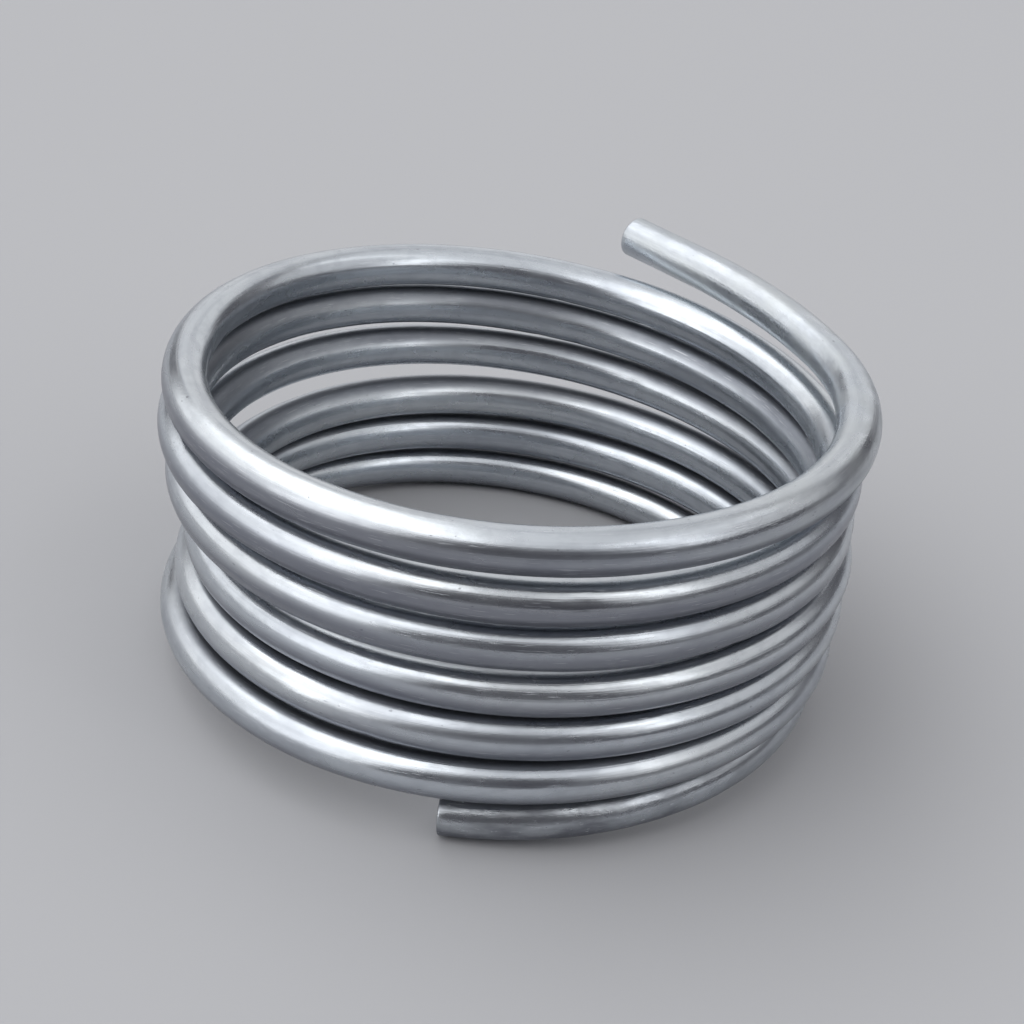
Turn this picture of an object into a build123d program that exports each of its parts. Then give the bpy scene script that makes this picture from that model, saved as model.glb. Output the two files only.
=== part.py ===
# A coil of soft lead wire as it is sold: one length of round extruded wire, wound on a former and slipped off it.
# It is a single solid. Every half turn is the round section revolved through 180 degrees about an axis that
# is tipped a little, so the wire climbs as it goes round and each half turn runs on smoothly from the last.
# Frame: +Z up, the floor at Z = 0, the origin where the bore's axis meets the floor, +X to the coil's right
# and the wire's lower end at the front, towards -Y. The open lower end makes the coil lean a few degrees.
from build123d import *
import os

# The wire
wire_diameter = 6.0
bore_diameter = 80.0  # inside the turns, as the former left it

# Air between one turn and the next above it, from the bottom up. The turns lie close on the right of the coil
# and fan open on its left, most between the third turn and the fourth.
air_right = [0.25, 0.2, 0.2, 0.2, 0.35, 1.7]
air_left = [0.25, 0.2, 2.1, 0.85, 0.25]

# How far each turn's middle stands outside the average circle, or inside it where negative, from the bottom up
shift_right = [-1.6, 0.0, 0.5, 0.7, 0.0, 0.0, 1.2]
shift_left = [0.2, -1.6, -2.6, 0.0, 1.2, 0.8]

# The lower end, tucked in a little under the turn above it
start_sweep = 95.0  # degrees of turn before the coil's right side
start_tuck = 1.5  # smaller radius than the average turn
start_fall = 4.2  # how far a whole half turn of this arc would fall

# The upper end, which springs out of the coil and stands a little above it
tail_sweep = 24.0  # degrees that it still follows the coil
tail_spread = 30.0  # larger radius than the average turn, past that
tail_bend = 24.0  # degrees of this wider arc
tail_straight = 12.0
tail_climb = 1.0  # how far a whole half turn of the tail would climb

# The coil stands on the wire's cut lower end and on the back of its first turn
foot_sweep = 80.7  # degrees past the coil's right side, where the first turn meets the floor

wire_radius = wire_diameter / 2
turn_radius = (bore_diameter + wire_diameter) / 2
first_climb = (wire_diameter + air_right[0]) / 2  # half of the first whole turn's climb
rightward, backward, forward = Vector(1, 0, 0), Vector(0, 1, 0), Vector(0, -1, 0)


def stacked(base, airs):
    """Heights of the wire's middle on one side, each a wire and its air above the last."""
    heights = [base]
    for air in airs:
        heights.append(heights[-1] + wire_diameter + air)
    return heights


def round_section(place, along):
    """The wire's round section, cut square across it."""
    return Plane(origin=place, z_dir=along) * Circle(wire_radius)


def bend(place, along, inward, radius, sweep):
    """Wire bent from place, setting off along and turning inward: the solid, its far end and its direction there."""
    pivot = place + inward * radius
    axis = Axis(pivot, along.cross(inward))
    solid = revolve(round_section(place, along), axis, sweep)
    return solid, pivot + (place - pivot).rotate(axis, sweep), along.rotate(axis, sweep)


def bend_across(start, end, along, sweep=180):
    """Wire bent about the middle between start and end, which it reaches after half a turn."""
    across = end - start
    return bend(start, along, across.normalized(), across.length / 2, sweep)


def rights_and_lefts():
    """The places where the wire's middle passes the coil's right side and its left side, from the bottom up."""
    right_heights = stacked(0, air_right)
    left_heights = stacked(first_climb, air_left)
    rights = [Vector(turn_radius + out, 0, z) for out, z in zip(shift_right, right_heights)]
    lefts = [Vector(-turn_radius - out, 0, z) for out, z in zip(shift_left, left_heights)]
    return rights, lefts


def turns(rights, lefts):
    """Whole turns: a half behind, from right to left, then a half in front, back to the right one turn up."""
    solids = []
    for lower, left, upper in zip(rights, lefts, rights[1:]):
        solids.append(bend_across(lower, left, backward)[0])
        solids.append(bend_across(left, upper, forward)[0])
    return solids


def lower_end(place):
    """The wire's start, bent on from the first turn's right side against the way it climbs, and its cut tip."""
    radius = turn_radius - start_tuck
    inward = Vector(-2 * radius, 0, -start_fall).normalized()
    solid, tip, _ = bend(place, forward, inward, radius, start_sweep)
    return solid, tip


def upper_end(place):
    """The wire's finish: it follows the coil, then opens into a wider arc and a straight end."""
    inward = Vector(-2 * turn_radius, 0, tail_climb).normalized()
    follow, place, heading = bend(place, backward, inward, turn_radius, tail_sweep)
    inward = inward.rotate(Axis(place, backward.cross(inward)), tail_sweep)
    spread, place, heading = bend(place, heading, inward, turn_radius + tail_spread, tail_bend)
    straight = extrude(round_section(place, heading), tail_straight, dir=heading)
    return [follow, spread, straight]


def floor_under(tip, right, left):
    """The floor that the coil stands on: it touches the wire at its tip and along the back of the first turn."""
    _, foot, heading = bend_across(right, left, backward, foot_sweep)
    up = heading.cross(tip - foot).normalized()
    if up.Z < 0:
        up = -up
    height = (tip.dot(up) - wire_radius) / up.Z
    return Plane(origin=(0, 0, height), x_dir=rightward, z_dir=up)


rights, lefts = rights_and_lefts()
start, tip = lower_end(rights[0])
coil = start.fuse(*turns(rights, lefts), *upper_end(rights[-1]))
coil = floor_under(tip, rights[0], lefts[0]).to_local_coords(coil)

os.makedirs("parts", exist_ok=True)
export_step(coil, "parts/lead_wire.step")
box = coil.bounding_box()
print(f"solids {len(coil.solids())}, volume {coil.volume:.0f}, from {box.min} to {box.max}")
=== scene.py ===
import math
import random

import bmesh
import bpy
from mathutils import Matrix, Vector, noise


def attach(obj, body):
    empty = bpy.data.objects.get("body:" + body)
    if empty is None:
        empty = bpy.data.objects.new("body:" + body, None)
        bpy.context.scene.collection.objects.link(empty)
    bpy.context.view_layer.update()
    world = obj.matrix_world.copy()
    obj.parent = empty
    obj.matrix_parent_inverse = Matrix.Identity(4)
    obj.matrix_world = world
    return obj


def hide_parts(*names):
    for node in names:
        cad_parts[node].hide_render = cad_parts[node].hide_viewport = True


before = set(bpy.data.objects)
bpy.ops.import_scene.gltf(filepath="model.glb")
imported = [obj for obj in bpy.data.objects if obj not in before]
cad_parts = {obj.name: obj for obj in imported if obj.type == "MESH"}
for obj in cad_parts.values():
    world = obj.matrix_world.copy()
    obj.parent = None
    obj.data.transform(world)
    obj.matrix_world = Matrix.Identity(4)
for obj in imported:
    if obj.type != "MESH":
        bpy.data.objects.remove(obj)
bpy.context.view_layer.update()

# The coil of wire
# One length of soft lead wire, pushed through a round die, wound on a former and slipped off it. Its lower
# end is tucked under the first turn, its turns fan open on the left, and its upper end springs out of the
# coil. Nothing ties it. It stands on the tip of its lower end and on the back of its first turn.
mm = 0.001
wire_radius = 3 * mm
bore_radius = 40 * mm  # inside the turns, as the former left it
turn_radius = bore_radius + wire_radius

# Air between one turn and the next above it, from the bottom up
air_right = [0.25 * mm, 0.2 * mm, 0.2 * mm, 0.2 * mm, 0.35 * mm, 1.7 * mm]
air_left = [0.25 * mm, 0.2 * mm, 2.1 * mm, 0.85 * mm, 0.25 * mm]

# How far each turn stands outside the average circle, or inside it where negative, from the bottom up
shift_right = [-1.6 * mm, 0.0, 0.5 * mm, 0.7 * mm, 0.0, 0.0, 1.2 * mm]
shift_left = [0.2 * mm, -1.6 * mm, -2.6 * mm, 0.0, 1.2 * mm, 0.8 * mm]

# The lower end: its arc before the coil's right side, how much tighter it is than the turns, and how far a
# whole half turn of it would fall
start_sweep = math.radians(95)
start_tuck = 1.5 * mm
start_fall = 4.2 * mm

# The upper end: it follows the coil, opens into a wider arc, and ends straight
tail_sweep = math.radians(24)
tail_spread = 30 * mm
tail_bend = math.radians(24)
tail_straight = 12 * mm
tail_climb = 1 * mm

# Where the back of the first turn meets the floor, past the coil's right side
foot_sweep = math.radians(80.7)

# How finely the wire is drawn: sides round it, rings along it, the most that it bends at a time, and how
# near two points are the same
section_sides = 48
ring_spacing = 1 * mm
most_bend = math.radians(46)
same_place = 0.001 * mm

rightward, backward, forward = Vector((1, 0, 0)), Vector((0, 1, 0)), Vector((0, -1, 0))


def stacked(base, airs):
    """Heights of the wire's middle on one side of the coil, each a wire and its air above the last."""
    heights = [base]
    for air in airs:
        heights.append(heights[-1] + 2 * wire_radius + air)
    return heights


def turned(vector, axis, angle):
    """A vector turned about an axis through the origin."""
    return Matrix.Rotation(angle, 3, axis) @ vector


class Winding:
    """Wire that grows from its cut lower end. Each point keeps the place that it had on the straight wire,
    so that the marks which the die and handling leave can run along the wire."""

    def __init__(self, place, along):
        self.mesh = bmesh.new()
        self.place = place.copy()
        self.length = 0.0
        self.facing = Vector((0, 0, 1)).rotation_difference(along).to_matrix()

    def grow(self, length, **way):
        """Draws the section on in equal steps, as a small mesh that is then joined to the rest."""
        steps = max(1, round(length / ring_spacing))
        stretch = bmesh.new()
        straight_place = stretch.verts.layers.float_vector.new("straight_place")
        ring = bmesh.ops.create_circle(stretch, segments=section_sides, radius=wire_radius)["verts"]
        for vert in ring:
            vert[straight_place] = (0, vert.co.x, vert.co.y)
        bmesh.ops.rotate(stretch, verts=ring, matrix=self.facing)
        bmesh.ops.translate(stretch, verts=ring, vec=self.place)
        way["dvec"] = way.get("dvec", Vector()) / steps
        bmesh.ops.spin(stretch, geom=ring + list(stretch.edges), steps=steps, **way)
        for number, vert in enumerate(stretch.verts):
            reach = self.length + length * (number // section_sides) / steps
            vert[straight_place] = (reach, *vert[straight_place][1:])
        joined = bpy.data.meshes.new("stretch")
        stretch.to_mesh(joined)
        stretch.free()
        self.mesh.from_mesh(joined)
        bpy.data.meshes.remove(joined)
        self.length += length

    def bend(self, pivot, axis, sweep):
        """Bends the wire on about an axis through pivot, in equal parts."""
        parts = math.ceil(abs(sweep) / most_bend)
        radius = (self.place - pivot).length
        turn = Matrix.Rotation(sweep / parts, 3, axis)
        for _ in range(parts):
            self.grow(radius * abs(sweep) / parts, cent=pivot, axis=axis, angle=sweep / parts)
            self.place = pivot + turn @ (self.place - pivot)
            self.facing = turn @ self.facing

    def bend_across(self, end):
        """Bends the wire half a turn, about the middle between where it is and end."""
        across = end - self.place
        axis = self.facing.col[2].cross(across).normalized()
        self.bend(self.place + across / 2, axis, math.pi)

    def run(self, length):
        """Runs the wire straight on."""
        along = self.facing.col[2].copy()
        self.grow(length, cent=self.place, axis=along, angle=0, dvec=along * length)
        self.place += along * length


right_heights = stacked(0, air_right)
left_heights = stacked((2 * wire_radius + air_right[0]) / 2, air_left)
rights = [Vector((turn_radius + out, 0, z)) for out, z in zip(shift_right, right_heights)]
lefts = [Vector((-turn_radius - out, 0, z)) for out, z in zip(shift_left, left_heights)]

start_radius = turn_radius - start_tuck
start_inward = Vector((-2 * start_radius, 0, -start_fall)).normalized()
start_pivot = rights[0] + start_inward * start_radius
start_axis = forward.cross(start_inward)
tip = start_pivot + turned(rights[0] - start_pivot, start_axis, start_sweep)
wire = Winding(tip, -turned(forward, start_axis, start_sweep))
wire.bend(start_pivot, start_axis, -start_sweep)
for left, upper in zip(lefts, rights[1:]):
    wire.bend_across(left)
    wire.bend_across(upper)
inward = Vector((-2 * turn_radius, 0, tail_climb)).normalized()
for radius, sweep in ((turn_radius, tail_sweep), (turn_radius + tail_spread, tail_bend)):
    axis = wire.facing.col[2].cross(inward)
    wire.bend(wire.place + inward * radius, axis, sweep)
    inward = turned(inward, axis, sweep)
wire.run(tail_straight)

# The floor touches the wire at its tip and along the back of its first turn
across = lefts[0] - rights[0]
foot_pivot = rights[0] + across / 2
foot_axis = backward.cross(across).normalized()
foot = foot_pivot + turned(rights[0] - foot_pivot, foot_axis, foot_sweep)
foot_heading = turned(backward, foot_axis, foot_sweep)
up = foot_heading.cross(tip - foot).normalized()
if up.z < 0:
    up = -up
floor_height = (tip.dot(up) - wire_radius) / up.z
rightward_on_floor = (rightward - up * rightward.dot(up)).normalized()
standing = Matrix((rightward_on_floor, up.cross(rightward_on_floor), up))
bmesh.ops.translate(wire.mesh, verts=wire.mesh.verts, vec=(0, 0, -floor_height))
bmesh.ops.rotate(wire.mesh, verts=wire.mesh.verts, matrix=standing)
bmesh.ops.remove_doubles(wire.mesh, verts=wire.mesh.verts, dist=same_place)
bmesh.ops.recalc_face_normals(wire.mesh, faces=wire.mesh.faces)

# Soft lead keeps every knock: the wire is a little uneven all along, and dented here and there. Both only
# go inwards, so the wire stays within its true size.
unevenness = 0.09 * mm
uneven_length, uneven_width = 11 * mm, 3.5 * mm
dents = 46
dent_depth = (0.04 * mm, 0.16 * mm)
dent_length = (0.6 * mm, 2.2 * mm)
dent_width = (0.5 * mm, 1.2 * mm)
dent_reach = 3 * dent_length[1]  # even the longest dent has run out there
dent_seed = 5


def hollow(at, dent):
    """How deep a dent is at a point that is given on the straight wire."""
    middle, depth, length, width = dent
    offset = at - middle
    along = offset.x / length
    across_squared = (offset.y ** 2 + offset.z ** 2) / width ** 2
    return depth * math.exp(-along ** 2 - across_squared)


draw = random.Random(dent_seed)
knocks = []
for _ in range(dents):
    angle = draw.uniform(0, 2 * math.pi)
    reach = draw.uniform(0, wire.length)
    middle = Vector((reach, wire_radius * math.cos(angle), wire_radius * math.sin(angle)))
    knocks.append((
        middle, draw.uniform(*dent_depth), draw.uniform(*dent_length), draw.uniform(*dent_width)))
straight_place = wire.mesh.verts.layers.float_vector["straight_place"]
wire.mesh.normal_update()
for vert in wire.mesh.verts:
    at = vert[straight_place]
    wave = noise.noise(Vector((at.x / uneven_length, at.y / uneven_width, at.z / uneven_width)))
    sunk = unevenness * (1 + wave) / 2
    for dent in knocks:
        if abs(dent[0].x - at.x) < dent_reach:
            sunk += hollow(at, dent)
    vert.co -= vert.normal * sunk

# The cutters leave a slightly rounded rim and a dished face at each end
rim_round = 0.25 * mm
rim_segments = 3
dish_depth = 0.12 * mm
dish_slope = 0.35 * wire_radius
rims = [edge for edge in wire.mesh.edges if edge.is_boundary]
cut_faces = bmesh.ops.holes_fill(wire.mesh, edges=rims, sides=section_sides)["faces"]
for face in cut_faces:
    face.material_index = 1
bmesh.ops.recalc_face_normals(wire.mesh, faces=wire.mesh.faces)
bmesh.ops.bevel(wire.mesh, geom=rims, offset=rim_round, offset_type="OFFSET", segments=rim_segments,
                profile=0.5, affect="EDGES", material=-1)
cut_faces = [face for face in wire.mesh.faces if len(face.verts) > 4]
bmesh.ops.inset_individual(wire.mesh, faces=cut_faces, thickness=dish_slope, depth=-dish_depth)
for face in wire.mesh.faces:
    face.smooth = len(face.verts) == 4

mesh = bpy.data.meshes.new("coil_of_wire")
wire.mesh.to_mesh(mesh)
wire.mesh.free()
coil = bpy.data.objects.new("coil_of_wire", mesh)
bpy.context.scene.collection.objects.link(coil)


def linear(code):
    """An sRGB hex colour as linear red, green and blue, with an alpha of one."""
    channels = [int(code[place:place + 2], 16) / 255 for place in (1, 3, 5)]
    return [c / 12.92 if c <= 0.04045 else ((c + 0.055) / 1.055) ** 2.4 for c in channels] + [1.0]


def add(tree, kind, inputs=None, output=0, **settings):
    """Adds a node with its settings, and returns one of its outputs. An input gets a value, or the output
    of another node."""
    made = tree.nodes.new(kind)
    for name, value in settings.items():
        setattr(made, name, value)
    for name, value in (inputs or {}).items():
        if isinstance(value, bpy.types.NodeSocket):
            tree.links.new(value, made.inputs[name])
        else:
            made.inputs[name].default_value = value
    return made.outputs[output]


# Extruded lead: a soft metal pushed through a round die. It is a bluish grey, and half bright, because the
# die burnishes it and air dulls it again within weeks, in a fine mottle. Faint lines run along it, and
# handling smears and scratches it. It is a little rougher under each turn, and its colour there is darker
# as painted shade. It is rougher at its two ends, and the scuffed lower end's colour is also darkened as
# painted shade. Where the turns touch it is rougher, and its colour there is darker as painted shade.
wire_marks = {
    # Each mark's length and width on the wire, the detail of its noise, its slant from the wire's line in
    # degrees, and the two values of the noise between which it grows from nothing to its full
    "hue": (60 * mm, 20 * mm, 1, 0, 0.40, 0.60),
    "dulled": (22 * mm, 5 * mm, 3, 0, 0.46, 0.72),
    "streaked": (30 * mm, 0.9 * mm, 2, 0, 0.48, 0.74),
    "smeared": (9 * mm, 4 * mm, 4, 0, 0.30, 0.70),
    "blotched": (6 * mm, 3 * mm, 3, 0, 0.36, 0.68),
    "mottled": (2.6 * mm, 1.5 * mm, 3, 0, 0.44, 0.66),
    # Real die lines are finer than this, and these are as coarse as they need to be to show
    "die_lines": (45 * mm, 0.3 * mm, 2, 0, 0.25, 0.75),
    "scratches": (4 * mm, 0.12 * mm, 1, 32, 0.68, 0.76),
    "cross_scratches": (3 * mm, 0.10 * mm, 1, -55, 0.70, 0.78),
    "specks": (0.9 * mm, 0.5 * mm, 1, 0, 0.74, 0.80),
    "flecks": (1.1 * mm, 0.4 * mm, 2, 0, 0.66, 0.72),
    "grain": (0.7 * mm, 0.4 * mm, 3, 0, 0.25, 0.75),
}

# Where the wire begins to differ, and where it does so fully: in from its two tips, in wire radii down or
# up from its middle, and along it, where it comes to have a turn below it and where it still has one above
scuffed_and_painted_shade_in = (55 * mm, 25 * mm)
weathered_in = (150 * mm, 40 * mm)
underside = (0.05, 0.65)
touching = (0.80, 0.98)
one_turn = 2 * math.pi * turn_radius
tail_length = turn_radius * tail_sweep + (turn_radius + tail_spread) * tail_bend + tail_straight
last_turn_at = wire.length - tail_length - one_turn
turn_below = (one_turn - 10 * mm, one_turn + 10 * mm)
turn_above = (last_turn_at, last_turn_at - 30 * mm)

lead_colour, lead_other_hue = "#C9CFD5", "#CED3D7"
tints = [  # mark, how strong, colour
    ("dulled", 0.30, "#9297A3"),
    ("streaked", 0.22, "#868B97"),
    ("mottled", 0.14, "#8A8F98"),
    # Painted shade: the undersides of the turns are darkened
    ("rough_underside_painted_shade", 0.66, "#686975"),
    ("weathered", 0.60, "#C4C9CA"),
    # The scuffed lower end, darkened partly as painted shade
    ("scuffed_and_painted_shade", 0.85, "#6E7078"),
    # Painted shade: darker where the turns touch
    ("rough_crevice_painted_shade", 0.60, "#555761"),
    ("specks", 0.45, "#6A6C76"),
    ("scratches", 0.50, "#DCDFE3"),
    ("cross_scratches", 0.50, "#DCDFE3"),
    ("bright_flecks", 0.80, "#D4D8DC"),
]
lead_roughness = 0.21
roughening = [
    ("smeared", 0.08),
    ("dulled", 0.07),
    ("mottled", 0.02),
    ("rough_underside_painted_shade", 0.04),
    ("weathered", 0.13),
    ("scuffed_and_painted_shade", 0.13),
    ("rough_crevice_painted_shade", 0.20),
]
micrometre = 0.001 * mm
relief_micrometres = [
    ("die_lines", 6),
    ("grain", 3),
    ("rough_grain", 8),
    ("scratches", -5),
    ("cross_scratches", -5),
    ("specks", -5),
]


def extruded_lead():
    """The wire's own skin. Its marks are placed on the straight wire, so they follow every bend of it."""
    material = bpy.data.materials.new("extruded_lead")
    material.use_nodes = True
    tree = material.node_tree
    shader = tree.nodes["Principled BSDF"]
    shader.inputs["Metallic"].default_value = 1.0
    on_wire = add(tree, "ShaderNodeAttribute", output="Vector", attribute_name="straight_place")
    along = add(tree, "ShaderNodeSeparateXYZ", {"Vector": on_wire}, output="X")
    downward = along.node.outputs["Y"]

    masks = {}
    for name, (length, width, detail, slant, low, high) in wire_marks.items():
        turn = math.radians(slant)
        place = add(tree, "ShaderNodeMapping", {
            "Vector": on_wire, "Rotation": (0, turn, turn), "Scale": (1 / length, 1 / width, 1 / width)})
        noise_there = add(tree, "ShaderNodeTexNoise", {"Vector": place, "Scale": 1.0, "Detail": detail})
        masks[name] = add(tree, "ShaderNodeMapRange", {
            "Value": noise_there, "From Min": low, "From Max": high}, interpolation_type="SMOOTHSTEP")

    for name, value, (begins, full) in (
            ("start_of_wire", along, scuffed_and_painted_shade_in),
            ("end_of_wire", along, [wire.length - reach for reach in weathered_in]),
            ("wound", along, [wire.length - reach for reach in reversed(weathered_in)]),
            ("underside", downward, [wire_radius * share for share in underside]),
            ("below", downward, [wire_radius * share for share in touching]),
            ("with_turn_below", along, turn_below),
            ("above", downward, [-wire_radius * share for share in touching]),
            ("with_turn_above", along, turn_above)):
        masks[name] = add(tree, "ShaderNodeMapRange", {
            "Value": value, "From Min": begins, "From Max": full}, interpolation_type="SMOOTHSTEP")

    for name, first, second, operation in (
            # The undersides of the wound turns, darkened in colour as painted shade
            ("rough_underside_painted_shade", "underside", "wound", "MULTIPLY"),
            ("touched_below", "below", "with_turn_below", "MULTIPLY"),
            ("touched_above", "above", "with_turn_above", "MULTIPLY"),
            # Where the turns touch, darkened in colour as painted shade
            ("rough_crevice_painted_shade", "touched_below", "touched_above", "ADD"),
            ("weathered", "end_of_wire", "blotched", "MULTIPLY"),
            # The scuffed lower end, whose colour is also darkened as painted shade
            ("scuffed_and_painted_shade", "start_of_wire", "smeared", "MULTIPLY"),
            ("bright_flecks", "start_of_wire", "flecks", "MULTIPLY"),
            ("worn", "end_of_wire", "start_of_wire", "ADD"),
            ("rough_grain", "worn", "grain", "MULTIPLY")):
        masks[name] = add(tree, "ShaderNodeMath", {0: masks[first], 1: masks[second]}, operation=operation)

    colour = add(tree, "ShaderNodeMix", {
        0: masks["hue"], 6: linear(lead_colour), 7: linear(lead_other_hue)}, output=2, data_type="RGBA")
    for name, strength, tint in tints:
        share = add(tree, "ShaderNodeMath", {0: masks[name], 1: strength}, operation="MULTIPLY")
        colour = add(tree, "ShaderNodeMix", {0: share, 6: colour, 7: linear(tint)},
                     output=2, data_type="RGBA")
    tree.links.new(colour, shader.inputs["Base Color"])

    roughness = lead_roughness
    for name, rise in roughening:
        roughness = add(tree, "ShaderNodeMath", {0: masks[name], 1: rise, 2: roughness},
                        operation="MULTIPLY_ADD")
    tree.links.new(roughness, shader.inputs["Roughness"])

    relief = 0.0
    for name, height in relief_micrometres:
        relief = add(tree, "ShaderNodeMath", {0: masks[name], 1: height, 2: relief},
                     operation="MULTIPLY_ADD")
    bump = add(tree, "ShaderNodeBump", {"Strength": 1.0, "Distance": micrometre, "Height": relief})
    tree.links.new(bump, shader.inputs["Normal"])
    return material


# Sheared lead: the two cut faces, dull and streaked, because the cutters drag the soft metal across as they
# close. Real streaks are about half as wide as these, which are as coarse as they need to be to show.
drag_width, drag_length = 0.25 * mm, 3 * mm
drag_slant = math.radians(20)
drag_relief = 0.02 * mm
patch_size = 1.8 * mm
patch_noise = (0.35, 0.65)
sheared_dark, sheared_pale = "#8F939B", "#C6C9CE"
sheared_roughness = (0.30, 0.48)


def sheared_lead():
    """The cut faces' own skin."""
    material = bpy.data.materials.new("sheared_lead")
    material.use_nodes = True
    tree = material.node_tree
    shader = tree.nodes["Principled BSDF"]
    shader.inputs["Metallic"].default_value = 1.0
    on_face = add(tree, "ShaderNodeTexCoord", output="Object")
    drag_place = add(tree, "ShaderNodeMapping", {
        "Vector": on_face, "Rotation": (0, 0, drag_slant),
        "Scale": (1 / drag_width, 1 / drag_width, 1 / drag_length)})
    streaks = add(tree, "ShaderNodeTexNoise", {"Vector": drag_place, "Scale": 1.0, "Detail": 3.0})
    tone = add(tree, "ShaderNodeMix", {0: streaks, 6: linear(sheared_dark), 7: linear(sheared_pale)},
               output=2, data_type="RGBA")
    tree.links.new(tone, shader.inputs["Base Color"])
    patches = add(tree, "ShaderNodeTexNoise", {"Vector": on_face, "Scale": 1 / patch_size, "Detail": 2.0})
    roughness = add(tree, "ShaderNodeMapRange", {
        "Value": patches, "From Min": patch_noise[0], "From Max": patch_noise[1],
        "To Min": sheared_roughness[0], "To Max": sheared_roughness[1]})
    tree.links.new(roughness, shader.inputs["Roughness"])
    bump = add(tree, "ShaderNodeBump", {"Strength": 1.0, "Distance": drag_relief, "Height": streaks})
    tree.links.new(bump, shader.inputs["Normal"])
    return material


coil.data.materials.append(extruded_lead())
coil.data.materials.append(sheared_lead())
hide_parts("lead_wire")
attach(coil, "root")

# The floor
# A plain sheet of pale matt paper, which takes the coil's soft shadow and shows no image of it. It is so
# wide that its far edge lies at the horizon, so it looks the same from every side.
floor_size = 120.0
paper_colour, paper_roughness = "#B4B5B8", 0.9
sheet = bmesh.new()
bmesh.ops.create_grid(sheet, x_segments=1, y_segments=1, size=floor_size / 2)
floor_mesh = bpy.data.meshes.new("floor")
sheet.to_mesh(floor_mesh)
sheet.free()
floor = bpy.data.objects.new("floor", floor_mesh)
bpy.context.scene.collection.objects.link(floor)
paper = bpy.data.materials.new("matt_paper")
paper.use_nodes = True
paper_shader = paper.node_tree.nodes["Principled BSDF"]
paper_shader.inputs["Base Color"].default_value = linear(paper_colour)
paper_shader.inputs["Roughness"].default_value = paper_roughness
floor.data.materials.append(paper)

# The light
# Broad soft panels, far enough away to light the floor evenly: a bright one to the left, a low one beside
# it towards the camera, weaker ones above, behind and to the right, and a narrow one near the coil, to the
# right of the camera. The side behind the camera stays as dark as the world.
panel_distance = 12.0
narrow_panel_distance = 0.5
fade_begins, fade_ends = 0.34, 0.5  # from a panel's middle, as shares of its width and height
dark_side = "#58575C"


def soft_panel(name, azimuth, elevation, width, height, radiance, distance=panel_distance):
    """A flat lamp that faces the coil. Its place and its extent are angles in degrees, as seen from the
    coil, and azimuth 0 is the camera's side. It is as bright as radiance says, where 1 is white, and fades
    towards its edges."""
    turn, rise = math.radians(azimuth), math.radians(elevation)
    away = Vector((math.sin(turn) * math.cos(rise), -math.cos(turn) * math.cos(rise), math.sin(rise)))
    lamp = bpy.data.lights.new(name, "AREA")
    lamp.shape = "RECTANGLE"
    lamp.size = 2 * distance * math.tan(math.radians(width / 2))
    lamp.size_y = 2 * distance * math.tan(math.radians(height / 2))
    lamp.energy = radiance * math.pi * lamp.size * lamp.size_y
    lamp.use_nodes = True
    tree = lamp.node_tree
    place = add(tree, "ShaderNodeNewGeometry", output="Parametric")
    place_on_panel = add(tree, "ShaderNodeSeparateXYZ", {"Vector": place}).node
    fade = 1.0
    for side in ("X", "Y"):
        from_middle = add(tree, "ShaderNodeMath", {0: place_on_panel.outputs[side], 1: 0.5},
                          operation="SUBTRACT")
        from_middle = add(tree, "ShaderNodeMath", {0: from_middle}, operation="ABSOLUTE")
        edge = add(tree, "ShaderNodeMapRange", {
            "Value": from_middle, "From Min": fade_ends, "From Max": fade_begins},
            interpolation_type="SMOOTHSTEP")
        fade = add(tree, "ShaderNodeMath", {0: edge, 1: fade}, operation="MULTIPLY")
    tree.links.new(fade, tree.nodes["Emission"].inputs["Strength"])
    panel = bpy.data.objects.new(name, lamp)
    facing_coil = away.to_track_quat("Z", "Y").to_matrix().to_4x4()
    panel.matrix_world = Matrix.Translation(away * distance) @ facing_coil
    panel.visible_camera = False
    bpy.context.scene.collection.objects.link(panel)


soft_panel("left_panel", -88, 41, 106, 86, 1.16)
soft_panel("top_panel", -100, 81, 96, 96, 0.72)
soft_panel("back_panel", 178, 22, 67, 53, 0.75)
soft_panel("right_panel", 80, 42, 84, 54, 0.60)
soft_panel("low_panel", -56, 15, 50, 34, 0.62)
soft_panel("narrow_panel", 57, 42, 14, 36, 1.30, distance=narrow_panel_distance)

world = bpy.data.worlds.new("studio")
bpy.context.scene.world = world
world.use_nodes = True
world.node_tree.nodes["Background"].inputs["Color"].default_value = linear(dark_side)

# The camera
# It looks down on the coil from the front, from close by and through a long lens, and is tilted a little to
# one side.
aim = Vector((0, 0, 22 * mm))
eye_distance = 307 * mm
eye_azimuth = math.radians(-0.54)
eye_elevation = math.radians(32.11)
roll = math.radians(-8.44)
lens_mm = 80
nearest_seen = 10 * mm
away = Vector((math.sin(eye_azimuth) * math.cos(eye_elevation),
               -math.cos(eye_azimuth) * math.cos(eye_elevation),
               math.sin(eye_elevation)))
side = (-away).cross(Vector((0, 0, 1))).normalized()
rise = side.cross(-away)
right_axis = side * math.cos(roll) - rise * math.sin(roll)
up_axis = side * math.sin(roll) + rise * math.cos(roll)
camera_data = bpy.data.cameras.new("camera")
camera_data.lens = lens_mm
camera_data.clip_start = nearest_seen
camera = bpy.data.objects.new("camera", camera_data)
camera.matrix_world = Matrix.Translation(aim + away * eye_distance) @ Matrix(
    (right_axis, up_axis, away)).transposed().to_4x4()
bpy.context.scene.collection.objects.link(camera)
bpy.context.scene.camera = camera

bpy.context.scene.view_settings.view_transform = "Standard"
